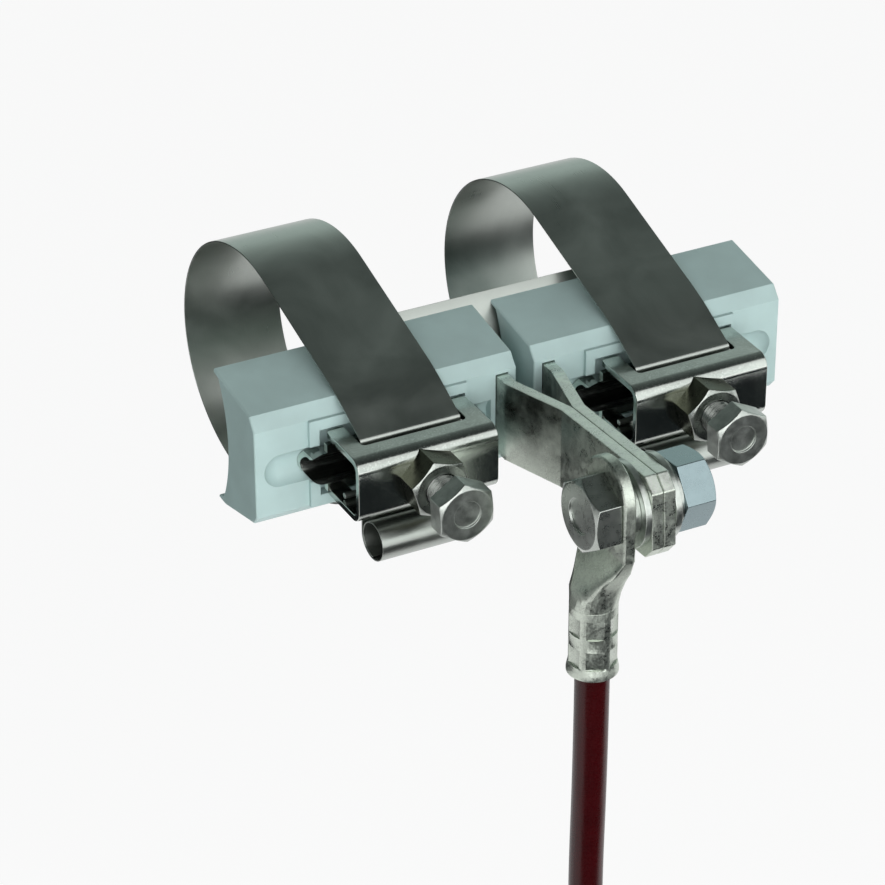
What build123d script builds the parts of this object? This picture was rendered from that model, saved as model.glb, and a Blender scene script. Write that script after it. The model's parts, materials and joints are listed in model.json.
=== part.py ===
from build123d import *
from math import acos, atan2, cos, degrees, hypot, radians, sin, sqrt, tan
import os

# Pipe grounding clamp for a 2 inch pipe: two clamping halves whose contact bars
# meet at one bolted earth terminal, with a short bonding lead on it.
# X runs along the pipe, -Y points outward to the clamp screws and +Z is up.
# The origin lies on the pipe's axis, midway between the halves. Millimetres.
# A reach is a distance outward from the pipe's axis.

# Pipe seat
pipe_radius = 30.15
seat_clearance = 0.1
layer_clearance = 0.05

# Contact sheet on the pipe
sheet_thickness = 0.3
sheet_length = 72.0
sheet_half_angle = 38.5

# Saddles
saddle_length = 66.0
saddle_gap = 4.6
saddle_depth = 16.2
saddle_face_half_height = 11.0
saddle_back_relief = 1.7
top_bevel_depth = 2.6
top_bevel_rise = 3.1
bottom_bevel_depth = 1.9
bottom_bevel_rise = 2.15
bottom_heel_length = 4.4
bottom_heel_fall = 0.3
lip_angle_top = 34.0
lip_angle_bottom = 31.5
lip_land_angle = 1.5
lip_ramp_angle = 3.0
saddle_edge_radius = 0.5
rim_relief = 1.0
rim_left_margin = 3.8
rim_right_margin = 0.9
recess_depth = 1.8
recess_half_height = 8.4
recess_left_margin = 1.4
recess_right_margin = 0.3
trough_half_height = 4.15
trough_depth = 2.5
trough_end_wall = 2.2
trough_slot_wall = 1.2

# Contact bars
bar_thickness = 3.0
bar_width = 20.0
bar_leg_offset = 4.55
bar_slot_clearance = 0.15
bar_foot_blank_angle = 60.0
bar_foot_length = 22.0
bar_foot_clearance = 0.2
bar_bend_margin = 4.2
bar_bend_length = 18.0
bar_bend_radius = 5.0
bar_rise_angle = 3.5
bar_end_margin = 9.7
bar_end_chamfer = 3.2

# Strap heads
head_offset = 1.4
head_length = 35.0
head_half_height = 8.02
head_rear_gap = 1.0
head_depth = 16.9
head_sheet = 1.6
head_bend_radius = 2.7
head_corner_radius = 1.2
notch_length = 26.0
notch_front_wall = 7.0
notch_corner_radius = 1.0

# Clamp screws, M8, and their weld nuts
screw_radius = 4.0
screw_across_flats = 13.0
screw_head_height = 5.3
screw_stand_out = 18.3
screw_head_turn = 2.8
weld_nut_height = 6.5
weld_nut_turn = 15.0
thread_clearance = 0.05
head_hole_clearance = 0.4

# Pressure plates
plate_length = 37.0
plate_height = 12.0
plate_thickness = 1.5
plate_stand_out = 4.0
bead_length = 46.0
bead_radius = 3.95
bead_bend_radius = 1.0
bead_seat_clearance = 0.1

# Straps
strap_width = 25.0
strap_thickness = 0.3
strap_offset = -0.2
strap_lean = 0.055
strap_hook_margin = 4.2
strap_notch_gap = 1.63
strap_hook_gap = 0.27
strap_hook_radius = 0.6
strap_bend_rise = 8.0
strap_bend_radius = 1.2
strap_corner_gap = 0.6
strap_corner_share = 0.4
pin_radius = 0.7
pin_length = 33.0
pin_head_gap = 0.27
pin_strap_gap = 0.05
roll_radius = 4.9
roll_margin = 5.8
roll_drop = 15.3
roll_turn_gap = 0.25

# Earth terminal, M10
terminal_reach = 100.0
terminal_rise = 3.7
terminal_radius = 5.0
terminal_across_flats = 16.0
terminal_head_height = 6.4
terminal_bolt_length = 25.0
terminal_head_turn = 33.0
terminal_nut_height = 8.0
terminal_nut_turn = 6.0
flat_washer_radius = 10.0
flat_washer_thickness = 1.6
lock_washer_radius = 8.0
lock_washer_thickness = 1.75
lock_washer_split = 1.0
washer_hole_clearance = 0.25
bolt_end_chamfer = 0.8

# Cable lugs
palm_thickness = 3.0
palm_half_width = 9.0
palm_top_rise = 12.5
palm_edge_chamfer = 0.4
swivel_clearance = 0.05
lug_hole_clearance = 0.1
barrel_offset = 3.6
barrel_radius = 5.5
barrel_end_drop = 40.7
neck_drops = (9.4, 12.9, 16.3, 19.7, 23.2)
neck_widths = (18.0, 16.2, 12.8, 11.4, 11.0)
neck_depths = (3.0, 5.6, 8.0, 10.3, 11.0)
neck_squareness = (9.0, 7.0, 4.5, 2.8, 2.0)
neck_points = 24
barrel_flare = 0.45
barrel_flare_length = 1.5
crimp_across_flats = 10.2
crimp_height = 4.8
crimp_drops = (27.7, 35.7)

# Conductor and lead
conductor_radius = 3.1
conductor_length = 16.0
conductor_clearance = 0.05
lead_radius = 4.0
lead_bow = 0.45
lead_bend_share = 0.45
lead_length = 118.2

# Worked out from the sizes above
seat_radius = pipe_radius + seat_clearance
lining_radius = seat_radius + sheet_thickness + layer_clearance
saddle_pitch = saddle_length + saddle_gap
saddle_face_reach = lining_radius + saddle_depth
bar_axis_offset = bar_leg_offset + bar_thickness / 2
bar_bend_start = saddle_face_reach + bar_bend_margin
bar_bend_end = bar_bend_start + bar_bend_length
head_rear_reach = saddle_face_reach + head_rear_gap
head_front_reach = head_rear_reach + head_depth
notch_front_reach = head_front_reach - notch_front_wall
screw_head_reach = head_front_reach + screw_stand_out
plate_front_reach = saddle_face_reach + plate_stand_out
strap_hook_reach = head_front_reach - strap_hook_margin
strap_front_reach = notch_front_reach - strap_notch_gap
roll_reach = head_front_reach - roll_margin
top_corner_reach = saddle_face_reach - top_bevel_depth
top_corner_rise = saddle_face_half_height + top_bevel_rise
bottom_corner_reach = saddle_face_reach - bottom_bevel_depth
bottom_corner_drop = saddle_face_half_height + bottom_bevel_rise
trough_floor_reach = saddle_face_reach - trough_depth
trough_radius = (trough_half_height ** 2 + trough_depth ** 2) / (2 * trough_depth)
bar_end_reach = terminal_reach + bar_end_margin
palm_bottom_drop = neck_drops[0]
barrel_top_drop = neck_drops[-1]
palm_inner = bar_thickness + flat_washer_thickness + lock_washer_thickness + swivel_clearance
palm_outer = palm_inner + palm_thickness
terminal_head_seat = palm_outer + swivel_clearance
barrel_x = -(palm_inner + palm_thickness / 2 + barrel_offset)
lead_top = terminal_rise - barrel_end_drop


def polar(radius, angle):
    """The point (y, z) at a radius about the pipe's axis, angle counted upward from straight outward."""
    return (-radius * cos(radians(angle)), radius * sin(radians(angle)))


def along_pipe(face, start, length):
    """Solid of a (y, z) face, running along X from start."""
    return extrude(Plane.YZ.offset(start) * face, length, dir=(1, 0, 0))


def outward(face, reach, length):
    """Solid of an (x, z) face, running outward from a reach."""
    return extrude(Plane.XZ.offset(reach) * face, length, dir=(0, -1, 0))


def sector(inner, outer, low, high):
    """Face between two radii about the pipe's axis, from one angle to another."""
    middle = (low + high) / 2
    return make_face([
        ThreePointArc(polar(inner, low), polar(inner, middle), polar(inner, high)),
        Line(polar(inner, high), polar(outer, high)),
        ThreePointArc(polar(outer, high), polar(outer, middle), polar(outer, low)),
        Line(polar(outer, low), polar(inner, low)),
    ])


def formed_strip(path, thickness, width, across):
    """Strip of sheet bent along a flat path, its width lying across the path's plane."""
    section = Plane(origin=path @ 0, x_dir=across, z_dir=path % 0) * Rectangle(width, thickness)
    return sweep(section, path=path)


def hexagon_blank(across_flats, height, corner_angle):
    """Hexagon standing on its seat at z = 0, chamfered at its outer end."""
    corner = across_flats / sqrt(3)
    face_radius = 0.475 * across_flats
    cut = (corner - face_radius) * tan(radians(30))
    outline = [(0, 0), (corner, 0), (corner, height - cut), (face_radius, height), (0, height)]
    turned = revolve(Plane.XZ * make_face(Polyline(*outline, close=True)), Axis.Z)
    prism = extrude(RegularPolygon(corner, 6, rotation=corner_angle), height, dir=(0, 0, 1))
    return prism & turned


def shank(radius, length, chamfer_length):
    """Round shank running down from z = 0, chamfered at its end."""
    outline = [
        (0, 0),
        (radius, 0),
        (radius, chamfer_length - length),
        (radius - chamfer_length, -length),
        (0, -length),
    ]
    return revolve(Plane.XZ * make_face(Polyline(*outline, close=True)), Axis.Z)


def head_x(side):
    """Centre of a strap head along the pipe; both heads sit a little to +X of their saddles."""
    return side * saddle_pitch / 2 + head_offset


def contact_sheet():
    """Thin curved sheet that lines the pipe behind both saddles."""
    face = sector(seat_radius, seat_radius + sheet_thickness, -sheet_half_angle, sheet_half_angle)
    return along_pipe(face, -sheet_length / 2, sheet_length)


def saddle_section():
    """Closed outline of a saddle: face, bevels, sloping top and bottom, lips and hollow back."""
    back_radius = lining_radius + saddle_back_relief
    top_land = lip_angle_top - lip_land_angle
    top_ramp = top_land - lip_ramp_angle
    bottom_land = lip_land_angle - lip_angle_bottom
    bottom_ramp = bottom_land + lip_ramp_angle
    bottom_tip = polar(lining_radius, -lip_angle_bottom)
    outside = Polyline(
        polar(lining_radius, lip_angle_top),
        (-top_corner_reach, top_corner_rise),
        (-saddle_face_reach, saddle_face_half_height),
        (-saddle_face_reach, -saddle_face_half_height),
        (-bottom_corner_reach, -bottom_corner_drop),
        (bottom_tip[0] - bottom_heel_length, bottom_tip[1] - bottom_heel_fall),
        bottom_tip,
        polar(lining_radius, bottom_land),
        polar(back_radius, bottom_ramp),
    )
    back = ThreePointArc(polar(back_radius, bottom_ramp), polar(back_radius, 0), polar(back_radius, top_ramp))
    top_lip = Polyline(
        polar(back_radius, top_ramp),
        polar(lining_radius, top_land),
        polar(lining_radius, lip_angle_top),
    )
    return make_face([*outside.edges(), back, *top_lip.edges()])


def beside_head(side, left_margin, right_margin, half_height):
    """Rectangle (x, z) that reaches past a strap head by a margin at each side."""
    left = head_x(side) - head_length / 2 - left_margin
    right = head_x(side) + head_length / 2 + right_margin
    return Pos((left + right) / 2, 0) * Rectangle(right - left, 2 * half_height)


def saddle_cuts(side):
    """Recess for the head, round trough, slot for the contact bar and pocket for the bar's foot."""
    slot_near = bar_leg_offset - bar_slot_clearance
    slot_width = bar_thickness + 2 * bar_slot_clearance
    slot_far = slot_near + slot_width
    slot_height = bar_width + 4 * bar_slot_clearance
    trough_near = slot_far + trough_slot_wall
    trough_far = saddle_gap / 2 + saddle_length - trough_end_wall - trough_half_height
    trough_y = -trough_floor_reach - trough_radius
    trough_x = side * (trough_near + trough_far) / 2
    trough = Pos(trough_x, trough_y) * Cylinder(trough_radius, trough_far - trough_near, rotation=(0, 90, 0))
    trough += Pos(side * trough_far, trough_y) * Sphere(trough_radius)
    recess_face = beside_head(side, recess_left_margin, recess_right_margin, recess_half_height)
    recess = outward(recess_face, saddle_face_reach - recess_depth, 2 * recess_depth)
    slot_face = Rectangle(slot_width, slot_height)
    slot = outward(Pos(side * (slot_near + slot_width / 2), 0) * slot_face, 0, 2 * saddle_face_reach)
    foot_outer = lining_radius + bar_thickness + bar_foot_clearance
    pocket_face = sector(0.5 * lining_radius, foot_outer, -bar_foot_blank_angle, bar_foot_blank_angle)
    pocket_face &= Rectangle(4 * pipe_radius, slot_height)
    pocket_length = bar_foot_length + bar_slot_clearance + bar_foot_clearance
    pocket_start = slot_near if side > 0 else -slot_near - pocket_length
    pocket = along_pipe(pocket_face, pocket_start, pocket_length)
    return [recess, trough, slot, pocket]


def saddle(side):
    """Moulded insulating saddle of one half, with the raised rim round the strap head."""
    centre = side * saddle_pitch / 2
    body = along_pipe(saddle_section(), centre - saddle_length / 2, saddle_length)
    rim_face = beside_head(side, rim_left_margin, rim_right_margin, saddle_face_half_height)
    rim = outward(rim_face, saddle_face_reach - recess_depth / 2, rim_relief + recess_depth / 2)
    ends = body.faces().sort_by(Axis.X)
    edges = (ends[0].edges() + ends[-1].edges()).filter_by(GeomType.LINE)
    front = [edge for edge in edges if edge.center().Y < -lining_radius]
    body = fillet(front, saddle_edge_radius) + rim
    for cut in saddle_cuts(side):
        body -= cut
    return body


def bar_side_section():
    """Side outline (y, z) of a contact bar: level through the saddle, then rising to the terminal."""
    half = bar_width / 2
    level = Pos(-bar_bend_start / 2, 0) * Rectangle(bar_bend_start, bar_width)
    length = (bar_end_reach - bar_bend_start) / cos(radians(bar_rise_angle))
    rising = Polyline(
        (1.0, -half),
        (1.0, half),
        (bar_end_chamfer - length, half),
        (-length, half - bar_end_chamfer),
        (-length, bar_end_chamfer - half),
        (bar_end_chamfer - length, -half),
        close=True,
    )
    return level + Pos(-bar_bend_start, 0) * Rot(0, 0, -bar_rise_angle) * make_face(rising)


def contact_bar(side):
    """Bent flat bar: foot on the pipe, leg through the saddle and tongue at the terminal."""
    axis = side * bar_axis_offset
    tongue = side * bar_thickness / 2
    plan = FilletPolyline(
        (axis, 0),
        (axis, -bar_bend_start),
        (tongue, -bar_bend_end),
        (tongue, -bar_end_reach - bar_width),
        radius=bar_bend_radius,
    )
    strip = formed_strip(plan, bar_thickness, 3 * bar_width, (0, 0, 1))
    strip -= Rot(0, 90, 0) * Cylinder(lining_radius, 2 * saddle_length)
    foot_outer = lining_radius + bar_thickness
    foot_face = sector(lining_radius, foot_outer, -bar_foot_blank_angle, bar_foot_blank_angle)
    foot_start = bar_leg_offset if side > 0 else -bar_leg_offset - bar_foot_length
    foot = along_pipe(foot_face, foot_start, bar_foot_length)
    outline = along_pipe(bar_side_section(), -saddle_length, 2 * saddle_length)
    hole = Cylinder(terminal_radius + washer_hole_clearance, saddle_length, rotation=(0, 90, 0))
    return (strip + foot) & outline - Pos(0, -terminal_reach, terminal_rise) * hole


def head_section(shrink):
    """Outline (y, z) of a folded head, drawn in from its outside by a wall."""
    front = head_front_reach - shrink
    half = head_half_height - shrink
    rear = head_rear_reach - shrink
    blank = Pos(-(front + rear) / 2, 0) * Rectangle(front - rear, 2 * half)
    return fillet(blank.vertices().group_by(Axis.X)[0], head_bend_radius - shrink)


def strap_head(side):
    """Folded sheet head, open at its rear and sides, notched above and below for the strap."""
    section = head_section(0) - head_section(head_sheet)
    folded = along_pipe(section, head_x(side) - head_length / 2, head_length)
    corners = folded.edges().filter_by(Axis.Z).group_by(Axis.Y)[-1]
    folded = fillet(corners, head_corner_radius)
    notch_depth = notch_front_reach - head_rear_reach + 2 * notch_corner_radius
    notch_face = RectangleRounded(notch_length, notch_depth, notch_corner_radius)
    notch_y = notch_depth / 2 - notch_front_reach
    notch = extrude(Pos(head_x(side), notch_y, -pipe_radius) * notch_face, 2 * pipe_radius, dir=(0, 0, 1))
    hole = Pos(head_x(side), 0) * Circle(screw_radius + head_hole_clearance)
    bore = outward(hole, head_rear_reach, 2 * pipe_radius)
    return folded - notch - bore


def screw_plane(side, reach):
    """Plane on a clamp screw's axis, facing outward, with X along the pipe."""
    return Plane(origin=(head_x(side), -reach, 0), x_dir=(1, 0, 0), z_dir=(0, -1, 0))


def weld_nut(side):
    """Hexagon nut on the front of a strap head."""
    nut = hexagon_blank(screw_across_flats, weld_nut_height, 30 + weld_nut_turn)
    nut -= Cylinder(screw_radius + thread_clearance, 3 * weld_nut_height)
    return screw_plane(side, head_front_reach) * nut


def clamp_screw(side):
    """M8 hexagon screw through the weld nut, its tip on the pressure plate."""
    head = hexagon_blank(screw_across_flats, screw_head_height, 30 + screw_head_turn)
    seat_reach = screw_head_reach - screw_head_height
    stem = extrude(Circle(screw_radius), seat_reach - plate_front_reach, dir=(0, 0, -1))
    return screw_plane(side, seat_reach) * (head + stem)


def pressure_plate(side):
    """Pressed plate in the trough: flanges behind the screw and a half-round bead at the back."""
    half_sheet = plate_thickness / 2
    flange = -plate_front_reach + half_sheet
    bead_mid = bead_radius - half_sheet
    bead_y = -trough_floor_reach - bead_seat_clearance - bead_radius
    shoulder = FilletPolyline(
        (flange, plate_height / 2),
        (flange, bead_mid),
        (bead_y, bead_mid),
        radius=bead_bend_radius,
    )
    bead = ThreePointArc((bead_y, bead_mid), (bead_y + bead_mid, 0), (bead_y, -bead_mid))
    path = Wire([*shoulder.edges(), *bead.edges(), *mirror(shoulder, Plane.XZ).edges()])
    path = Plane.YZ.offset(head_x(side)) * path
    pressed = formed_strip(path, plate_thickness, bead_length, (1, 0, 0))
    outline = Rectangle(plate_length, plate_height) + SlotOverall(bead_length, 2 * bead_radius)
    return pressed & outward(Pos(head_x(side), 0) * outline, trough_floor_reach / 2, saddle_face_reach)


def tangent_angle(point, radius):
    """Angle about the pipe at which a line from a point (reach, rise) touches a circle."""
    reach, rise = point
    return degrees(atan2(rise, reach) + acos(radius / hypot(reach, rise)))


def pin_reach():
    """Reach of the anchor pin, which the strap passes on its way into the roll."""
    return roll_reach - roll_radius + strap_thickness + pin_strap_gap + pin_radius


def pin_rise():
    """Height of the anchor pin, just above the lower plate of the head."""
    return pin_radius + pin_head_gap + head_sheet - head_half_height


def wide_bend(before, corner, after, share):
    """Radius of the bend that takes up a share of the shorter run beside a corner."""
    toward = Vector(*corner) - Vector(*before)
    away = Vector(*after) - Vector(*corner)
    run = min(toward.length, away.length)
    return share * run / tan(radians(toward.get_angle(away) / 2))


def strap_path():
    """Middle line (y, z) of a strap, from its hooked end round the pipe to its rolled end."""
    half = strap_thickness / 2
    ring = seat_radius + half
    stand_off = strap_corner_gap + half
    front = strap_front_reach - half
    hook_rise = head_half_height - head_sheet - strap_hook_gap - half
    top_corner = (top_corner_reach + stand_off / 2, top_corner_rise + stand_off)
    bottom_corner = (bottom_corner_reach + stand_off / 2, bottom_corner_drop + stand_off)
    top_touch = tangent_angle(top_corner, ring)
    bottom_touch = tangent_angle(bottom_corner, ring)
    loop = pin_radius + pin_strap_gap + half
    rear_pass = pin_reach() - loop
    front_pass = pin_reach() + loop
    slot_point = (-front, strap_bend_rise)
    over_corner = (-top_corner[0], top_corner[1])
    over_touch = polar(ring, top_touch)
    over_bend = wide_bend(slot_point, over_corner, over_touch, strap_corner_share)
    over = FilletPolyline(
        (-strap_hook_reach, hook_rise),
        (-front, hook_rise),
        slot_point,
        over_corner,
        over_touch,
        radius=(strap_hook_radius, strap_bend_radius, over_bend),
    )
    pin_rear = (-rear_pass, pin_rise())
    pin_front = (-front_pass, pin_rise())
    under_touch = polar(ring, -bottom_touch)
    around = ThreePointArc(over_touch, (ring, 0), under_touch)
    under_corner = (-bottom_corner[0], -bottom_corner[1])
    gap_point = (-rear_pass, -strap_bend_rise - half)
    under_bend = wide_bend(under_touch, under_corner, gap_point, strap_corner_share)
    under = FilletPolyline(
        under_touch,
        under_corner,
        gap_point,
        pin_rear,
        radius=(under_bend, strap_bend_radius),
    )
    over_pin = ThreePointArc(pin_rear, (-pin_reach(), pin_rise() + loop), pin_front)
    down = Line(pin_front, (-front_pass, -roll_drop))
    curves = [over, around, under, over_pin, down, *roll_arcs(front_pass)]
    return Wire([edge for curve in curves for edge in curve.edges()])


def roll_arcs(start_reach):
    """Half turns of the strap's rolled end, each a little smaller than the one before."""
    arcs = []
    reach = start_reach
    radius = roll_radius - strap_thickness / 2
    toward_front = 1
    for half_turn in range(2):
        middle = (-reach - toward_front * radius, -roll_drop - toward_front * radius)
        end = (-reach - 2 * toward_front * radius, -roll_drop)
        arcs.append(ThreePointArc((-reach, -roll_drop), middle, end))
        reach = reach + 2 * toward_front * radius
        radius = radius - roll_turn_gap
        toward_front = -toward_front
    centre = -reach - toward_front * radius
    tail = toward_front * radius
    middle = (centre + tail * cos(radians(45)), -roll_drop - tail * sin(radians(45)))
    arcs.append(ThreePointArc((-reach, -roll_drop), middle, (centre, -roll_drop - tail)))
    return arcs


def strap(side):
    """Band hooked under the head, round the pipe, over the anchor pin and rolled up."""
    middle = head_x(side) + strap_offset
    path = Plane.YZ.offset(middle) * strap_path()
    wide = formed_strip(path, strap_thickness, 2 * strap_width, (1, 0, 0))
    far = 3 * pipe_radius
    near_shift = strap_lean * (far - strap_front_reach)
    far_shift = strap_lean * (far + strap_front_reach)
    half = strap_width / 2
    leaning = make_face(Polyline(
        (middle - half + near_shift, -far),
        (middle + half + near_shift, -far),
        (middle + half - far_shift, far),
        (middle - half - far_shift, far),
        close=True,
    ))
    return wide & extrude(Pos(0, 0, -far) * leaning, 2 * far, dir=(0, 0, 1))


def strap_pin(side):
    """Anchor pin that spans the lower notch of a head."""
    place = Pos(head_x(side), -pin_reach(), pin_rise())
    return place * Cylinder(pin_radius, pin_length, rotation=(0, 90, 0))


def terminal_plane(x, facing):
    """Plane on the terminal's axis at an x, facing along +X or -X, with -Y as its first direction."""
    return Plane(origin=(x, -terminal_reach, terminal_rise), x_dir=(0, -1, 0), z_dir=(facing, 0, 0))


def terminal_bolt():
    """M10 hexagon bolt along the pipe's direction, its head outside the lug."""
    head = hexagon_blank(terminal_across_flats, terminal_head_height, terminal_head_turn)
    stem = shank(terminal_radius, terminal_bolt_length, bolt_end_chamfer)
    return terminal_plane(-terminal_head_seat, -1) * (head + stem)


def washer(radius, thickness):
    """Flat ring for the terminal bolt, standing on z = 0."""
    ring = Circle(radius) - Circle(terminal_radius + washer_hole_clearance)
    return extrude(ring, thickness, dir=(0, 0, 1))


def flat_washer(side):
    """Flat washer against the outer face of one contact bar."""
    return terminal_plane(side * bar_thickness, side) * washer(flat_washer_radius, flat_washer_thickness)


def lock_washer(side):
    """Split spring washer outside a flat washer."""
    ring = washer(lock_washer_radius, lock_washer_thickness)
    split = Pos(0, lock_washer_radius, 0) * Rot(0, 30, 0) * Box(lock_washer_split, lock_washer_radius, 9)
    return terminal_plane(side * (bar_thickness + flat_washer_thickness), side) * (ring - split)


def terminal_nut():
    """M10 hexagon nut on the +X side of the bars."""
    nut = hexagon_blank(terminal_across_flats, terminal_nut_height, -terminal_nut_turn)
    nut -= Cylinder(terminal_radius + thread_clearance, 3 * terminal_nut_height)
    seat = bar_thickness + flat_washer_thickness + lock_washer_thickness
    return terminal_plane(seat, 1) * nut


def neck_section(width, depth, squareness):
    """Closed outline between an oblong and a round, by the superellipse formula."""
    points = []
    for step in range(neck_points):
        angle = radians(360 * (step + 0.5) / neck_points)
        x = abs(cos(angle)) ** (2 / squareness) * depth / 2
        y = abs(sin(angle)) ** (2 / squareness) * width / 2
        points.append((x if cos(angle) > 0 else -x, y if sin(angle) > 0 else -y))
    return make_face(Polyline(*points, close=True))


def lug_neck():
    """Neck of a lug: the flattened palm opening out into the round barrel, its inner face nearly level."""
    sections = []
    for drop, width, depth, squareness in zip(neck_drops, neck_widths, neck_depths, neck_squareness):
        share = (drop - palm_bottom_drop) / (barrel_top_drop - palm_bottom_drop)
        inner = palm_inner + (-barrel_x - barrel_radius - palm_inner) * share
        place = Pos(-inner - depth / 2, -terminal_reach, terminal_rise - drop)
        sections.append(place * neck_section(width, depth, squareness))
    return loft(sections, ruled=True)


def lug_palm():
    """Flat palm of a lug with a round end and the bolt hole."""
    bottom = terminal_rise - palm_bottom_drop
    arc_z = terminal_rise + palm_top_rise - palm_half_width
    left = -terminal_reach - palm_half_width
    right = -terminal_reach + palm_half_width
    outline = [
        Line((left, bottom), (left, arc_z)),
        ThreePointArc((left, arc_z), (-terminal_reach, arc_z + palm_half_width), (right, arc_z)),
        Line((right, arc_z), (right, bottom)),
        Line((right, bottom), (left, bottom)),
    ]
    palm = along_pipe(make_face(outline), -palm_outer, palm_thickness)
    rounded = [edge for edge in palm.edges() if abs(edge.center().X + palm_inner + palm_thickness / 2) > 1.0]
    rounded = [edge for edge in rounded if edge.center().Z > bottom + 0.1]
    palm = chamfer(rounded, palm_edge_chamfer)
    hole = Cylinder(terminal_radius + lug_hole_clearance, 4 * palm_outer, rotation=(0, 90, 0))
    return palm - Pos(0, -terminal_reach, terminal_rise) * hole


def lug_barrel():
    """Round barrel with two hexagon crimps and a slightly flared mouth."""
    top = -barrel_top_drop
    end = -barrel_end_drop
    flare = barrel_radius + barrel_flare
    outline = [
        (0, top),
        (barrel_radius, top),
        (barrel_radius, end + 2 * barrel_flare_length),
        (flare, end + barrel_flare_length / 2),
        (flare, end),
        (0, end),
    ]
    barrel = revolve(Plane.XZ * make_face(Polyline(*outline, close=True)), Axis.Z)
    crimp_face = Circle(2 * barrel_radius) - RegularPolygon(crimp_across_flats / sqrt(3), 6, rotation=0)
    for drop in crimp_drops:
        cut = extrude(Pos(0, 0, -drop - crimp_height / 2) * crimp_face, crimp_height, dir=(0, 0, 1))
        barrel -= cut
    bore_depth = conductor_length + layer_clearance
    bore = Cylinder(conductor_radius + conductor_clearance, bore_depth)
    barrel -= Pos(0, 0, end + bore_depth / 2) * bore
    return Pos(barrel_x, -terminal_reach, terminal_rise) * barrel


def cable_lug():
    """Tube lug: palm, neck and crimped barrel in one piece."""
    return lug_palm() + lug_neck() + lug_barrel()


def conductor():
    """Bare end of the lead's conductor, crimped in a lug's barrel."""
    middle = lead_top + conductor_length / 2
    return Pos(barrel_x, -terminal_reach, middle) * Cylinder(conductor_radius, conductor_length)


def lead_points():
    """Route of the lead's middle line from one lug to the other, hanging with a slight set."""
    bottom = lead_top - lead_length
    return [
        (barrel_x, -terminal_reach, lead_top),
        (barrel_x, -terminal_reach, lead_top - 26),
        (barrel_x - lead_bow, -terminal_reach + lead_bow, lead_top - 62),
        (barrel_x, -terminal_reach, bottom + 24),
        (barrel_x, -terminal_reach, bottom),
    ]


def lead():
    """Insulated lead between the two lugs."""
    points = lead_points()
    corners = zip(points, points[1:], points[2:])
    radii = [wide_bend(before, corner, after, lead_bend_share) for before, corner, after in corners]
    print("lead arc radii", [round(radius) for radius in radii])
    path = FilletPolyline(*points, radius=radii)
    section = Plane(origin=path @ 0, z_dir=path % 0) * Circle(lead_radius)
    tube = sweep(section, path=path)
    print("lead volume", round(tube.volume, 2), "section times length", round(section.area * path.length, 2))
    return tube


def far_end(piece):
    """The same piece at the lead's lower end, turned half a turn about the pipe's direction."""
    middle = lead_top - lead_length / 2
    return Pos(0, -terminal_reach, middle) * Rot(180, 0, 0) * Pos(0, terminal_reach, -middle) * piece


def build():
    """All pieces by node name."""
    nodes = {"contact_sheet": contact_sheet()}
    for side, name in ((-1, "left"), (1, "right")):
        nodes["saddle_" + name] = saddle(side)
        nodes["contact_bar_" + name] = contact_bar(side)
        nodes["pressure_plate_" + name] = pressure_plate(side)
        nodes["strap_head_" + name] = strap_head(side)
        nodes["weld_nut_" + name] = weld_nut(side)
        nodes["clamp_screw_" + name] = clamp_screw(side)
        nodes["strap_" + name] = strap(side)
        nodes["strap_pin_" + name] = strap_pin(side)
        nodes["flat_washer_" + name] = flat_washer(side)
        nodes["lock_washer_" + name] = lock_washer(side)
    nodes["terminal_bolt"] = terminal_bolt()
    nodes["terminal_nut"] = terminal_nut()
    nodes["cable_lug"] = cable_lug()
    nodes["conductor"] = conductor()
    nodes["lead"] = lead()
    nodes["far_lug"] = far_end(cable_lug())
    nodes["far_conductor"] = far_end(conductor())
    return nodes


if __name__ == "__main__":
    os.makedirs("parts", exist_ok=True)
    for node, solid in build().items():
        solid.label = node
        export_step(solid, os.path.join("parts", node + ".step"))
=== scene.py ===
import json
from math import cos, pi, radians, sin

import bmesh
import bpy
from mathutils import Matrix, Vector

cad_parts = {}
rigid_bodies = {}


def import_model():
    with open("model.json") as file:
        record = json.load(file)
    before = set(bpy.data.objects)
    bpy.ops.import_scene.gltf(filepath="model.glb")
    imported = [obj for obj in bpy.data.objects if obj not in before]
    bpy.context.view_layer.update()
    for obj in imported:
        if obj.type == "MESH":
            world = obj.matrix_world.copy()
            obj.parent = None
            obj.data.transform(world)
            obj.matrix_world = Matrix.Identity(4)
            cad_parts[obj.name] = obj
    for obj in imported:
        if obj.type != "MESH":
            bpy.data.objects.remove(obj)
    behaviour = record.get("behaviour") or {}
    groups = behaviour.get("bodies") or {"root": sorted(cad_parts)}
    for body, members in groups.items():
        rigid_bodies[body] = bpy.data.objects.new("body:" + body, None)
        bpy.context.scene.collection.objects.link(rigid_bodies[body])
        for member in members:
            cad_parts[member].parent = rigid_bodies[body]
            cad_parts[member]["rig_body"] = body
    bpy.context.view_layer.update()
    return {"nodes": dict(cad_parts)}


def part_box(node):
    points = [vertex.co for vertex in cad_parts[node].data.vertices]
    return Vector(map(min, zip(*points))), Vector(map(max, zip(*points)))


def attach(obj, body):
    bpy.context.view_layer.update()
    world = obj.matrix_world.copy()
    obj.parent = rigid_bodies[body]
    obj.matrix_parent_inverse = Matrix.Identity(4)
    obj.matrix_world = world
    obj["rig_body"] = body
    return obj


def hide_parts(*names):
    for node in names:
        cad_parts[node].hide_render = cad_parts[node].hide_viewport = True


bl_info = {
    "name": "Pipe Grounding Clamp",
    "version": (1, 0, 0),
    "blender": (4, 5, 0),
    "location": "View3D > Sidebar > Clamp",
    "description": "Dresses a pipe grounding clamp, its saddles, straps, heads, bars and lead",
    "category": "Object",
}

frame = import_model()

SIDES = ("left", "right")
MM = 0.001

# Nearness that counts as touching, and how near points merge and how flat faces join in a copy.
TOUCH = 0.01 * MM
MERGE = 0.002 * MM
FLAT = radians(0.6)

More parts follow.
